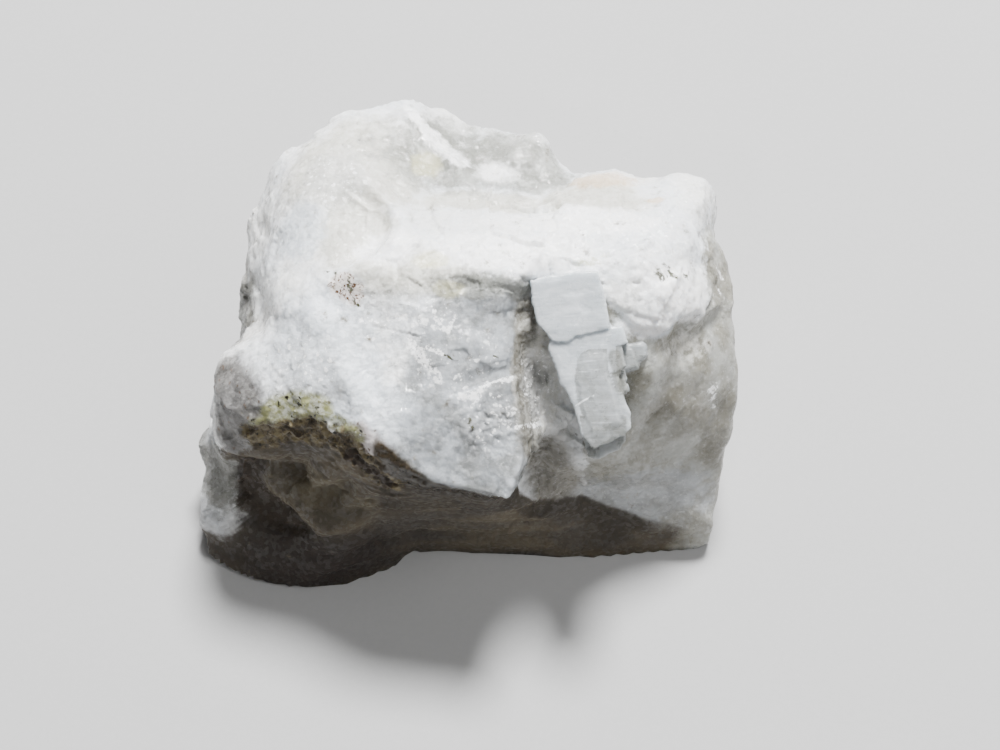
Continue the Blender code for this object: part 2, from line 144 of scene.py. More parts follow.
def terraces(points, direction, pitch, wobble, seed):
    # steps that climb slowly along a direction and drop off sharply
    rise = points @ direction / pitch + wobble * roughNoise(points, pitch * 2.5, 2, seed)
    part = rise - np.floor(rise)
    return part - ramp(0.82, 1.0, part)


# meshes


def makeObject(name, points, faces):
    # an object from rows of points, in metres, and rows of vertex numbers
    mesh = bpy.data.meshes.new(name)
    mesh.vertices.add(len(points))
    mesh.vertices.foreach_set("co", np.asarray(points, np.float32).ravel())
    mesh.loops.add(faces.size)
    mesh.loops.foreach_set("vertex_index", faces.ravel().astype(np.int32))
    mesh.polygons.add(len(faces))
    starts = np.arange(0, faces.size, faces.shape[1], dtype=np.int32)
    mesh.polygons.foreach_set("loop_start", starts)
    mesh.update()
    mesh.polygons.foreach_set("use_smooth", np.ones(len(faces), bool))
    piece = bpy.data.objects.new(name, mesh)
    bpy.context.scene.collection.objects.link(piece)
    return piece


def readPoints(mesh):
    values = np.empty(len(mesh.vertices) * 3, np.float32)
    mesh.vertices.foreach_get("co", values)
    return values.reshape(-1, 3).astype(float)


def finishedMesh(piece):
    # the mesh as its modifiers leave it
    graph = bpy.context.evaluated_depsgraph_get()
    graph.update()
    return piece.evaluated_get(graph).data


def addLayer(piece, name, values):
    # a number for each point, which materials read by its name
    layer = piece.data.attributes.new(name, "FLOAT", "POINT")
    layer.data.foreach_set("value", values.astype(np.float32))


def cubeBall(count):
    # the surface of a cube, its grid evened out by the tangent of the angle and pushed out to
    # a ball; seams share their vertices
    step = np.arange(count + 1)
    u, v = (side.ravel() for side in np.meshgrid(step, step, indexing="ij"))
    corner = np.arange((count + 1) ** 2).reshape(count + 1, count + 1)
    quads = np.stack([corner[:-1, :-1], corner[1:, :-1], corner[1:, 1:], corner[:-1, 1:]], -1)
    quads = quads.reshape(-1, 4)
    spots, faces = [], []
    for axis in range(3):
        for end in (0, count):
            spot = np.zeros((len(u), 3), int)
            spot[:, axis] = end
            spot[:, (axis + 1) % 3] = u
            spot[:, (axis + 2) % 3] = v
            faces.append((quads if end else quads[:, ::-1]) + len(u) * len(spots))
            spots.append(spot)
    spots, index = np.unique(np.concatenate(spots), axis=0, return_inverse=True)
    ball = np.tan(math.pi / 4 * (2 * spots / count - 1))
    return unit(ball), index.ravel()[np.concatenate(faces)]


def edgePairs(faces):
    # the directed edges of some quads
    return np.concatenate([faces[:, [side, (side + 1) % 4]] for side in range(4)])


class Net:
    # which vertices of a closed quad mesh are neighbours
    def __init__(self, faces, count):
        self.faces = faces
        self.count = count
        pairs = np.unique(np.sort(edgePairs(faces), axis=1), axis=0)
        self.start = np.concatenate([pairs[:, 0], pairs[:, 1]])
        self.end = np.concatenate([pairs[:, 1], pairs[:, 0]])
        self.links = np.bincount(self.start, minlength=count)

    def mean(self, values):
        # the average over the neighbours of each vertex
        if values.ndim == 1:
            return np.bincount(self.start, values[self.end], self.count) / self.links
        return np.stack([self.mean(column) for column in values.T], axis=1)

    def smooth(self, values, rounds):
        # in each round, 0.6 of the way to the neighbours' average
        for _ in range(rounds):
            values = 0.4 * values + 0.6 * self.mean(values)
        return values

    def widest(self, values, rounds):
        # in each round, the highest value found on a vertex and its neighbours
        for _ in range(rounds):
            wider = values.copy()
            np.maximum.at(wider, self.start, values[self.end])
            values = wider
        return values

    def normals(self, points):
        # the crossed diagonals of the faces round each vertex, added up
        corner = points[self.faces]
        face = np.cross(corner[:, 2] - corner[:, 0], corner[:, 3] - corner[:, 1])
        total = np.zeros_like(points)
        for side in range(4):
            for axis in range(3):
                total[:, axis] += np.bincount(self.faces[:, side], face[:, axis], self.count)
        return unit(total)


# the stone's surface, taken off the CAD nodes

stone = {
    "core": (1.7, -2.0, 17.0),  # mm; the stone's whole surface can be seen from here
    "cells": 126,  # along each side of the cube grid
    "lean": (0.0, -0.15, 0.28),  # the grid is finer toward this side
    "far": 80.0,  # mm, where the rays start
    "filling": (50, 150),  # rounds that fill the block's socket and even it out
    "closing": 3,  # rounds that close the clearances between the nodes
    "easing": 6,  # rounds of smoothing that take the facets away
    "edgeKept": (0.03, 0.10),  # mm moved by the easing, from which an edge is put back
    "pit": ((6.2, -4.6, 29.2), (2.4, 3.6, 3.4), 0.6),  # smoothed, beside the block's head
    "tongueDepth": 4.3,  # mm, how far the glassy minerals reach in
    "sideDepth": 5.8,
    "pocketGap": 0.15,  # mm, between them and the pockets that they sit in
}


def outerReach(node):
    # how far from the core the node's outer surface lies along each direction, or 0
    ball = makeObject("ball", core + directions * stone["far"] * mm, ballFaces)
    wrap = ball.modifiers.new("wrap", "SHRINKWRAP")
    wrap.wrap_method = "PROJECT"
    wrap.use_negative_direction = True
    wrap.use_positive_direction = False
    wrap.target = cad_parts[node]
    reach = lengths(readPoints(finishedMesh(ball)) - core)
    bpy.data.objects.remove(ball)
    return np.where(reach > 0.99 * stone["far"] * mm, 0.0, reach)


core = np.array(stone["core"]) * mm
directions, ballFaces = cubeBall(stone["cells"])
directions = unit(directions + stone["lean"])
net = Net(ballFaces, len(directions))
reaches = np.stack([outerReach(node) for node in ("albite_matrix", "fluorite_tongue", "fluorite_side")])
owner = reaches.argmax(axis=0)
reach = reaches.max(axis=0)

# across the block's socket the surface is drawn from its edges
socket = net.widest((outerReach("fluorite_block") > 0).astype(float), 3) > 0
known = (~socket).astype(float)
drawn = reach * known
for _ in range(stone["filling"][0]):
    weight = net.mean(known)
    fresh = (known == 0) & (weight > 0)
    drawn[fresh] = (net.mean(drawn * known) / np.maximum(weight, 1e-9))[fresh]
    known[fresh] = 1.0
for _ in range(stone["filling"][1]):
    drawn = np.where(socket, net.mean(drawn), reach)

# the clearances are closed: out to the widest neighbour, then back in
closed = -net.widest(-net.widest(drawn, stone["closing"]), stone["closing"])
surface = core + directions * closed[:, None]
softened = net.smooth(surface, stone["easing"])
moved = net.smooth(lengths(softened - surface), 2)
edge = ramp(*np.array(stone["edgeKept"]) * mm, moved)
tongueMark = net.smooth((owner == 1).astype(float), 4)
sideMark = net.smooth((owner == 2).astype(float), 4)
openSeam = sideMark * (1 - sideMark) + tongueMark * (1 - tongueMark) * (surface[:, 0] < 3 * mm)
edge *= 1 - ramp(0.02, 0.15, openSeam)
surface = softened + (surface - softened) * edge[:, None]


def rimOf(mark):
    # 1 along the edge of a mark, fading to 0 over about a millimetre
    spread = net.smooth(mark, 8)
    return np.clip(5 * spread * (1 - spread), 0.0, 1.0)


# no groove is left where the minerals meet, apart from the tongue's overhanging crest
facesUp = ramp(0.25, 0.5, net.normals(softened)[:, 2])
hushed = np.maximum(rimOf(tongueMark) * facesUp, rimOf(sideMark) * (surface[:, 2] < 22 * mm))
surface += (net.smooth(surface, 18) - surface) * hushed[:, None]
surface += (net.smooth(surface, 30) - surface) * blob(surface / mm, *stone["pit"])[:, None]
place = surface / mm
x, y, z = place.T
normals = net.normals(surface)
print("stone: surface of", len(place), "points taken off the CAD nodes")

# relief, in millimetres along the surface's normal

disc = {"centre": (-10.8, 3.6, 32.3), "radius": 4.6, "dish": 0.5, "step": 0.55}
fan = {"apex": (-17.5, -1.5, 31), "ribs": 11, "height": 0.2}
crack = {"line": ((0.3, -11.9, 28.6), (4.8, -10.2, 28.7)), "radius": 1.3, "drop": 0.5}
capEdge = {  # the edge under the right cap
    "x": 15.7, "height": 30.1, "fall": 0.457, "lift": 0.55, "radius": 3.2,
    "line": [(14.5, -7.4, 30.4), (15.7, -7.5, 30.1), (19.5, -5.3, 28.5), (22.7, -3.1, 26.9),
        (24.6, -1.4, 25.8)],
}
dirtLine = [(-19.2, -13.2, 21.6), (-17.6, -13.3, 22.3), (-15.8, -13.5, 22.9), (-14, -13.5, 24.2),
    (-12.7, -14, 24), (-10.5, -15.2, 24), (-9.1, -15.9, 23.4), (-7.9, -16.7, 21.9),
    (-6.8, -17.2, 21)]
cavityLine = [(-20.9, -12.1, 14.2), (-21.9, -12.6, 11.2), (-21.2, -13.6, 8.6), (-18.8, -14.8, 7.7),
    (-17.2, -15.6, 7.8)]
wallLine = [(-8, 26.8), (-6.5, 25.9), (-4.6, 24.7), (-2.6, 23.5), (-1.4, 22.9), (0, 22.2), (4.1, 22.2),
    (4.9, 20), (5.4, 13.6), (6.7, 12.2), (9.7, 10.6), (13.8, 8), (18.9, 5.8), (24, 4.2)]
underLine = [(-26, 15.5), (-21, 19), (-18, 21.5), (-12, 23.8), (-7, 23)]


def stroke(line, radius):
    # 1 along a line of points, fading over its radius
    return np.max([streak(place, start, end, radius) for start, end in zip(line, line[1:])], axis=0)


# the front wall lies below one line of (x, z), the shaded front of the left end below another; both are
# painted with shade
wallTop = np.interp(x, *zip(*wallLine))
wall = ramp(-11.4, -13.0, y) * ramp(0.8, -0.8, z - wallTop) * ramp(-8.6, -7.2, x)
wall *= 1 - 0.9 * ramp(17.0, 24.5, x + 2.0 * roughNoise(place, 3.0, 2, 163))
under = ramp(1.0, -1.0, z - np.interp(x, *zip(*underLine)))
under *= ramp(-8.5, -12.0, y + 0.12 * x + 2.0) * ramp(-2.0, -8.0, x)
leftEnd = ramp(-22.2, -24.6, x + 1.3 * roughNoise(place, 3.0, 3, 161))
under *= 1 - leftEnd * ramp(2.0, 5.0, z + 0.5 * roughNoise(place, 2.0, 2, 162))

dirtBand = stroke(dirtLine, 1.8)
cavity = stroke(cavityLine, 1.9)
bulge = np.maximum(blob(place, (-13.4, -15.2, 12.9), (5, 3.6, 4.4)),
    blob(place, (-17.6, -13.2, 11.6), (2.7, 2.6, 3)))
slope = blob(place, (-8.5, -8, 29.5), (9, 8.5, 5))
capFace = blob(place, (18.8, -2, 31), (7, 5, 4), 0.3)
crinkle = blob(place, (2.6, -14.8, 26.4), (2.8, 3, 2.5), 0.3)
valley = blob(place, (7, -9, 25.5), (2.6, 6, 6), 0.4)
dome = blob(place, (-12, 5, 31), (9, 11, 6), 0.4)
belowCap = capEdge["height"] - capEdge["fall"] * (x - capEdge["x"]) - z
recess = ramp(-0.6, 0.9, belowCap) * ramp(11.5, 12.8, x)
recess *= ramp(3, -1, y - 0.5 * (x - 20))

# a shallow disc on the dome, with a raised rim on its right
fromDisc = lengths((place - disc["centre"]) * (1, 1, 0.6))
inDisc = 1 - ramp(disc["radius"] - 0.3, disc["radius"] + 0.3, fromDisc)
discRim = blob(fromDisc[:, None], (disc["radius"] + 0.5,), (0.9,), 0.8)
relief = -disc["dish"] * inDisc * (1 - (fromDisc / disc["radius"]) ** 2)
relief += disc["step"] * discRim * ramp(-1.0, 2.5, x - disc["centre"][0])

# broken facets from large to small, and crumbs
glass = np.max([tongueMark, sideMark, recess, 0.8 * valley], axis=0)
broken = (1 - 0.6 * dome) * (1 - 0.8 * inDisc) * (1 - 0.5 * wall)
calm = 1 - np.maximum(0.65 * slope, 0.85 * glass)
facets = [  # height and size in mm, seed, and where
    (0.36, 5.2, 15, broken * calm), (0.20, 2.4, 20, broken * calm),
    (0.07, 1.1, 30, broken * (1 - 0.5 * glass)), (0.03, 0.55, 40, 1.0), (0.15, 3.4, 70, tongueMark),
    (0.17, 0.6, 80, crinkle), (0.07, 0.8, 85, valley), (0.30, 0.9, 130, dirtBand),
    (0.08, 0.8, 160, capFace),
]
for height, size, seed, where in facets:
    relief += height * chips(place, size, seed) * where
waves = [  # the same with octaves before the seed
    (0.14, 7.0, 3, 11, 1.0), (0.12, 3.2, 2, 100, np.maximum(sideMark, recess)),
    (0.28, 0.9, 2, 140, dirtBand), (0.45, 1.6, 3, 150, cavity),
]
for height, size, octaves, seed, where in waves:
    relief += height * roughNoise(place, size, octaves, seed) * where
relief += 0.16 * terraces(place, (0.85, -0.2, -0.35), 3.4, 0.4, 91) * sideMark
relief += 0.16 * terraces(place, (0.05, 0.1, 1.0), 3.6, 0.35, 111) * np.maximum(wall, 0.3 * under)
relief += 0.16 * roughNoise(place * (0.6, 1, 1), 4.0, 2, 121) * np.maximum(wall, under)
relief += 0.5 * bulge - 1.3 * cavity
relief += 0.7 * blob(place, (5.5, -2.4, 33.2), (1.3, 1.3, 1.3), 0.8)  # the knob at the block's head

# ribs that fan out from the left end of the slope
fromApex = place - fan["apex"]
bearing = np.arctan2(-fromApex[:, 1], fromApex[:, 0])
ribs = np.sin(fan["ribs"] * bearing + 1.2 * softNoise(place, 5.0, 51))
relief += fan["height"] * ribs * slope * ramp(2.0, 8.0, lengths(fromApex))

# one side of the crack stands over the other, and the cap's edge over the recess
crackAway = place - crack["line"][0]
crackRun = np.subtract(*crack["line"][::-1])
below = ramp(-0.15, 0.15, crackAway[:, 0] * crackRun[1] - crackAway[:, 1] * crackRun[0])
relief += crack["drop"] * (below - 0.6) * streak(place, *crack["line"], crack["radius"])
capSide = ramp(0.25, -0.25, belowCap + 0.35 * roughNoise(place, 2.0, 2, 75))
relief += stroke(capEdge["line"], capEdge["radius"]) * (capEdge["lift"] * capSide - 0.15 * (1 - capSide))

relief *= ramp(0.2, 1.6, z) * (1 - 0.4 * ramp(0.3, 0.8, edge))
points = np.clip(surface + normals * relief[:, None] * mm, *cadBox)
points[surface[:, 2] < 0.05 * mm, 2] = 0.0
print("stone: relief from", relief.min().round(2), "to", relief.max().round(2), "mm")

# paint: how strongly each finish lies at each point, 0 to 1


def patch(*blobs):
    # the union of some soft blobs, each a centre and its radii
    return np.max([blob(place, one[:3], one[3:], 0.7) for one in blobs], axis=0)


sideSpread = net.smooth(sideMark, 20)
fading = ramp(0.0, 0.35, (9.5 - y) / 6 + 0.5 * roughNoise(place, 4.0, 3, 171))
# the foot of the painted shade at the top of the front wall
overhangShadeFoot = np.minimum(11.5, wallTop - 3.5) - roughNoise(place, 3.0, 2, 164)
paint = {
    "tongue": net.smooth(tongueMark, 30),
    "side": np.max([sideSpread * fading, recess, patch((25, 3, 26, 2, 5, 6))], axis=0),
    "cream": patch((-10, 10.5, 31, 7, 7, 4), (-10.4, 3.7, 32, 4.4, 4.4, 3), (12.5, 8, 30.8, 5, 3.6, 3),
        (-4, -1.6, 33, 6, 2.6, 2.5), (2, 7.5, 30.6, 6.5, 1.6, 2)),
    "frost": patch((-15.2, 4, 31, 2.8, 3.2, 3), (-13, -7, 29.5, 5.5, 5, 4), (19, -5, 29, 5.5, 1.3, 1.6),
        (-8.5, -13.5, 27.5, 4.5, 3, 3), (-9.2, -10.2, 29.1, 2.4, 3.4, 3)),
    "white": patch((-6.8, 1, 32.6, 3.2, 2.2, 2), (5, 0.4, 33.8, 9, 2.3, 2), (10.5, 4.5, 32.5, 8, 2, 2),
        (20, -2, 30.6, 4, 2.4, 2), (22, -2.8, 27.6, 4, 1.2, 1.2), (18.2, -5.2, 29.4, 3.6, 1.3, 1.2)),
    # grey-beige stone at the left end, darkened with painted shade
    "leftGreyShade": patch((-24.6, -10.8, 9, 2.4, 4, 5), (-21.9, 1.5, 19.5, 1.8, 4.5, 4.5),
        (-25.6, -6, 6, 2, 4, 6)),
    "tips": patch((-26.8, -13.6, 4.9, 1.3, 1.7, 1.7), (-25.9, -7, 9.8, 1.1, 1.2, 1.2)),
    "glassy": patch((0.5, 13.5, 29.5, 9.5, 4.8, 4), (6.8, 13, 28.6, 4.5, 4, 3),
        (2.4, -2.8, 32.2, 5.2, 1.3, 2)),
    "sill": patch((17.5, -13, 8.5, 8.5, 2.5, 4.4), (9, -13.8, 12, 3.5, 2, 2)),
    # beige grey along the tongue's right ridge and down the valley's flank, darkened with painted shade where
    # these face the light
    "amberShade": np.maximum(0.9 * stroke([(6, -4.2, 30.2), (5.9, -6.2, 29), (5.7, -8.6, 27.7)], 1.4),
        stroke([(6.3, -9.8, 26.4), (6.7, -12.2, 25.6), (6.9, -14.4, 23.8)], 2.4)),
    "hidden": ramp(25, 19, z) * ramp(-9, -3, y) * (1 - sideSpread),
    # pale beige in the valley and under the cap's edge, lightened as painted light where these lie in shade
    "valley": np.maximum(valley, 0.5 * patch((21.5, -4.9, 24.4, 4.5, 2.4, 2.6))),
    # painted shade in the hollow under the valley, and a brown darkening on the middle and lower right of the
    # side
    "hollowShade": np.maximum(stroke([(7.5, -12.9, 17.8), (8.4, -13.2, 16), (9.4, -14.1, 12.4)], 2.9),
        0.5 * patch((21.5, -9, 20.4, 3.6, 4, 4), (26, -9, 14.5, 2.5, 4, 5))),
    "tan": patch((14, 10.8, 29.4, 3.4, 1.5, 2), (18.6, 7.8, 30.9, 0.8, 0.5, 0.8)),
    "yellow": patch((-3.5, 12.1, 30.1, 1.6, 1.5, 1.5), (-2.6, -0.8, 33.6, 1.6, 0.9, 1),
        (-1, -3.3, 32.6, 1.4, 0.8, 1)),
    "moss": np.max([stroke([(-17.3, -12.4, 25.2), (-15, -12.2, 26.2), (-13.1, -12.6, 26.4)], 1.5),
        0.85 * stroke([(-19, -12.9, 23.2), (-16.9, -13.1, 24.2)], 1.2),
        0.9 * stroke([(-11.4, -14, 26.1), (-9.6, -15.1, 26.2)], 1)], axis=0),
    "dirt": dirtBand,
    # painted shade in the cavity and in the hollow under the crest
    "cave": np.maximum(cavity, stroke([(-10.2, -15.8, 23.2), (-8.6, -16.4, 22.3), (-7, -17.1, 21)], 0.9)),
    # painted shade at the top of the front wall, under the crest's overhang
    "overhangShade": wall * ramp(-1.5, 1.5, z - overhangShadeFoot),
    # the bulge: an olive grey, darkened with painted shade
    "bulge": bulge,
    # painted shade, in brown, on the front wall and on the front under the crest
    "umberShade": np.maximum(wall, under),
    "rose": stroke([(-9.1, -15.2, 26), (-6.9, -17, 24.2)], 1.5),
    # the ledge at the left end: a pinkish grey darkened with painted shade
    "ledge": np.maximum(stroke([(-22.4, -12.2, 20), (-21.6, -11.2, 23.4), (-20, -12.2, 23.8)], 2.6),
        stroke([(-22.3, -8.4, 24), (-21, -10.6, 25)], 2.8)),
    # the low lobe at the front: dark brown, made near black with painted shade
    "lobe": patch((-15.5, -17.5, 3.5, 9.8, 5, 5.4)),
    # white patches on the glassy hollow, beside the gloss streak
    "whitePatches": 0.8 * patch((3.2, 11.8, 29.2, 2, 1.7, 2), (7.6, 16.4, 27.2, 1.2, 0.7, 1)),
    # where the painted sparkles lie, on a greyer ground
    "sparkleArea": patch((-15, -9, 28.4, 4.5, 3.5, 3), (-5, -5.8, 31.3, 5, 2.6, 2.5), (-12, 9.5, 32, 3, 3.5, 3),
        (2.6, -13.8, 27.2, 2.6, 3.4, 2.5), (7.8, -9, 25, 2, 4.5, 4), (0, -9.5, 30, 4, 3, 2)),
}
print("stone: painted", ", ".join(paint))

# the minerals parted along the grid, each a closed piece


def ownFaces(mark, wobble, seed):
    # the faces where a mark with a ragged edge is over a half
    value = mark + wobble * roughNoise(place, 1.6, 2, seed)
    return (value[ballFaces].mean(axis=1) > 0.5) & (mark[ballFaces].mean(axis=1) > 0.05)


def rimPairs(faces):
    # directed edges that only one of these faces has
    pairs = edgePairs(faces)
    keys = pairs[:, 0] * net.count + pairs[:, 1]
    back = pairs[:, 1] * net.count + pairs[:, 0]
    return pairs[~np.isin(keys, back)]


def closedPiece(name, topFaces, floorFaces, floor):
    # the faces on the surface, walls down from their rim, and a floor; the top is shaded with
    # the whole surface's normals, so that no seam shows between two pieces
    rim = rimPairs(topFaces)
    walls = np.stack([rim[:, 1], rim[:, 0], rim[:, 0] + net.count, rim[:, 1] + net.count], axis=1)
    faces = np.concatenate([topFaces, walls, floorFaces + net.count])
    both = np.concatenate([points, floor])
    used, index = np.unique(faces, return_inverse=True)
    piece = makeObject(name, both[used], index.reshape(faces.shape))
    for finish, values in paint.items():
        addLayer(piece, finish, values[used % net.count])
    corner = both[faces]
    flat = np.cross(corner[:, 2] - corner[:, 0], corner[:, 3] - corner[:, 1])
    flat /= np.maximum(np.linalg.norm(flat, axis=1, keepdims=True), 1e-12)
    shading = np.repeat(flat[:, None], 4, axis=1)
    shading[:len(topFaces)] = wholeNormals[topFaces]
    piece.data.normals_split_custom_set(shading.reshape(-1, 3).tolist())
    return piece


def glassyPiece(name, top, floor):
    # the floor's rim is pulled toward its neighbours inside, so that the walls lean in
    inside = np.zeros(net.count)
    inside[top] = 1.0
    share = np.maximum(net.mean(inside), 1e-9)[:, None]
    pulled = net.mean(floor * inside[:, None]) / share
    return closedPiece(name, top, top[:, ::-1], np.where((inside > 0)[:, None], pulled, floor))


tongueFaces = ownFaces(net.smooth(tongueMark, 8), 0.30, 301)
sideFaces = ownFaces(net.smooth(sideMark, 4), 0.22, 311) & ~tongueFaces
albiteFaces = ~(tongueFaces | sideFaces)
meeting = np.zeros(net.count)
for own in (tongueFaces, sideFaces):
    meeting[rimPairs(ballFaces[own])] = 1.0
paint["rim"] = net.smooth(net.widest(meeting, 4), 3)
inward = unit(core - points)
tongueFloor = points + inward * stone["tongueDepth"] * mm
sideFloor = points + inward * stone["sideDepth"] * mm
wholeNormals = net.normals(points)
tongue = glassyPiece("fluorite_tongue_glass", ballFaces[tongueFaces], tongueFloor)
side = glassyPiece("fluorite_side_glass", ballFaces[sideFaces], sideFloor)
pocket = np.where((tongueMark > sideMark)[:, None], tongueFloor, sideFloor)
pocket = pocket + inward * stone["pocketGap"] * mm
albite = closedPiece("albite_stone", ballFaces[albiteFaces], ballFaces[~albiteFaces], pocket)
print("pieces:", [(piece.name, len(piece.data.polygons) * 2) for piece in (albite, tongue, side)])

# the block: its crystals are drawn on the broken face they share

block = {
    "corner": (6.521, -2.807, 33.3),  # mm, the top left corner of the face
    "turn": (30.3, -1.0, 0.0),  # degrees, the lean of the face
    "around": 300,  # points around each crystal
    "topRings": 26,
    "sideRings": 34,
    "sunk": 0.05,  # mm, how far the face lies below its drawn height
    "chamfer": 0.05,  # mm, where the face breaks over into the sides
    "chipping": 0.09,  # mm, how ragged the outlines are
    "faceStep": 0.045,  # mm, between the bands of the face
    "faceTilt": 0.05,  # mm, the facets on it
    "ledges": 0.07,  # mm, how far the layers stand out along the sides
    "layer": 0.55,  # mm, thickness of the layers
    "sideTilt": 0.10,  # mm, the facets on the sides, and the furthest that these stand out
    "taper": 0.04,  # how fast the sides draw in, going down
    "bevelled": 0.75,  # share of the way out at which a face begins to fall to its edge
    "voxel": 0.1,  # mm, of the grid on which the crystals become one
}

# outline on the face as (across, down), height above the face, depth below it and fall of the
# face toward its edge, in mm
crystals = {
    "head": ([(0, 0), (1.4, -0.35), (4.3, -0.78), (6.2, -0.8), (6.75, 1), (7, 2.6), (7.3, 4.4),
        (6.5, 4.75), (5.9, 4.75), (3.95, 5.25), (3.5, 5.75), (2.3, 5.65), (1.75, 5.3), (1.1, 4.5),
        (0.55, 3.7), (0.15, 2)], 0, 9, 0.05),
    "slab": ([(2.3, 3.8), (7.2, 3.7), (8.35, 6.1), (8.75, 7.9), (8.1, 8.8), (8.45, 10.2),
        (8.7, 11.4), (9.15, 12.3), (9.2, 13.7), (8.75, 14.2), (5.85, 15.55), (5.3, 15.3), (4.55, 14.1),
        (4.15, 12.7), (3.6, 10.9), (2.75, 9.5), (2.15, 7.7), (1.6, 6.2)], -0.32, 9.1, 0.12),
    "plate": ([(4.6, 6.75), (5.2, 6.4), (7, 6.3), (7.1, 8.1), (7.75, 10.1), (8.3, 12.4), (8.6, 13.6),
        (6.2, 14.9), (5.5, 14.6), (4.9, 13.3), (4.2, 11), (4, 9), (4.25, 7.4)], -0.18, 4, 0.24),
    "foot": ([(4.4, 12.5), (8.8, 12.5), (8.75, 15), (8.2, 15.7), (6.2, 16.7), (5.2, 16.5)],
        -1.5, 8.1, 0.3),
    "tooth": ([(7.8, 6.1), (9.2, 5.8), (10.4, 5.65), (10.95, 6.3), (10.8, 7.15), (10.25, 7.55),
        (10.05, 8.3), (9.1, 8.65), (7.9, 8.6)], -2.2, 6.4, 0.3),
    "shoulder": ([(6.6, 4.35), (8.5, 4.2), (9, 5.8), (8.3, 6.2), (6.9, 6.1)], -0.3, 5.2, 0.12),
    "chip": ([(7.3, 8.5), (8.7, 8.5), (8.85, 9.6), (9.1, 10.3), (8.7, 10.6), (7.9, 10.6)],
        -1.1, 4.7, 0.3),
}
clearer = {"plate": 0.75, "strip": 0.6, "foot": 1.0, "tooth": 1.0, "chip": 1.0}  # inside an outline
strip = [(7.7, 10.1), (8.8, 10.5), (9.4, 12.3), (9.4, 13.8), (8.7, 14.5), (8.2, 12.4)]
faceTurn = np.array(Euler([math.radians(angle) for angle in block["turn"]]).to_matrix())


def joined(flat, height):
    # points in a plane given their heights
    return np.concatenate([flat, np.broadcast_to(height, len(flat))[:, None]], axis=1)


def bandValue(number, side, seed):
    # one random value, 0 to 1, for each numbered band
    return lattice(np.stack([number, number * 0, number * 0 + side], axis=1), seed)


def crystalPoints(outline, height, depth, fall, seed):
    # rings of points: the outline shrunk toward its middle for the face, pushed in and out
    # by layer for the sides, then shrunk again underneath
    ends = np.array([*outline, outline[0]])
    length = np.concatenate([[0], np.cumsum(lengths(np.diff(ends, axis=0)))])
    along = np.linspace(0, length[-1], block["around"], endpoint=False)
    loop = np.stack([np.interp(along, length, ends[:, axis]) for axis in range(2)], axis=1)
    forward = np.roll(loop, -1, axis=0) - np.roll(loop, 1, axis=0)
    outward = unit(np.stack([-forward[:, 1], forward[:, 0]], axis=1))
    middle = loop.mean(axis=0)
    outward *= np.sign(np.sum(outward * (loop - middle)))
    ragged = block["chipping"] * chips(joined(loop, 0.0) + seed, 0.5, seed)
    loop = loop + outward * ragged[:, None]
    rings = []
    for part in np.linspace(0, 1, block["topRings"])[1:] ** 0.8:
        ring = middle + (loop - outward * block["chamfer"] - middle) * part
        spot = joined(ring, seed)
        band = np.floor(spot[:, 1] * 1.3 + 0.1 * spot[:, 0] + 0.9 * softNoise(spot, 4.0, seed))
        step = block["faceStep"] * bandValue(band, 0, seed) + block["faceTilt"] * chips(spot, 1.6, seed)
        drop = fall * max(0.0, (part - block["bevelled"]) / (1 - block["bevelled"])) ** 1.5
        rings.append(joined(ring, height + step - block["sunk"] - drop))
    edge = height - fall - block["chamfer"]
    for part in np.linspace(0, 1, block["sideRings"]):
        level = edge - block["sunk"] - part * (depth + edge)
        spot = joined(loop * 0.6, level)
        layer = np.floor(spot[:, 2] / block["layer"] + 0.6 * softNoise(spot, 2.0, seed + 7))
        jut = bandValue(layer, seed, seed + 9) * 2 - 1
        push = block["ledges"] * jut + block["sideTilt"] * chips(spot, 0.7, seed + 11)
        push = np.minimum(push - block["taper"] * part * depth, block["sideTilt"] if part > 0 else 0.0)
        rings.append(joined(loop + outward * push[:, None], level))
    low = rings[-1]
    for part in (0.6, 0.2):
        rings.append(low * (part, part, 1) + np.array([*(middle * (1 - part)), 0]))
    return np.array(rings), middle


def loft(rings, middle):
    # rings joined by quads, a fan of triangles closing each end
    count, around = rings.shape[:2]
    step = np.arange(around)
    after = (step + 1) % around
    ends = [[*middle, rings[0, :, 2].mean()], [*middle, rings[-1, 0, 2]]]
    points = np.concatenate([rings.reshape(-1, 3), ends])
    row = (np.arange(count - 1) * around)[:, None]
    quads = np.stack([row + step, row + after, row + around + after, row + around + step], -1)
    quads = quads.reshape(-1, 4)
    lead = np.full(around, count * around)
    last = (count - 1) * around
    lid = np.stack([lead, after, step], axis=1)
    floor = np.stack([lead + 1, last + step, last + after], axis=1)
    return points, np.concatenate([quads[:, [0, 1, 2]], quads[:, [0, 2, 3]], lid, floor])


def crystalShell(name, seed):
    # one crystal as closed triangles in its place on the stone
    points, faces = loft(*crystalPoints(*crystals[name], seed))
    placed = np.array(block["corner"]) + (points * (1, -1, 1)) @ faceTurn.T
    corner = placed[faces]
    volume = np.einsum("ij,ij->i", corner[:, 0], np.cross(corner[:, 1], corner[:, 2])).sum()
    return placed, faces if volume > 0 else faces[:, ::-1]


def largestPart(faces, count):
    # the faces of the biggest connected part: every vertex takes the lowest label beside it
    label = np.arange(count)
    while True:
        fresh, lowest = label.copy(), label[faces].min(axis=1)
        for side in range(4):
            np.minimum.at(fresh, faces[:, side], lowest)
        fresh = fresh[fresh]
        if (fresh == label).all():
            break
        label = fresh
    part = label[faces[:, 0]]
    return faces[part == np.bincount(part).argmax()]


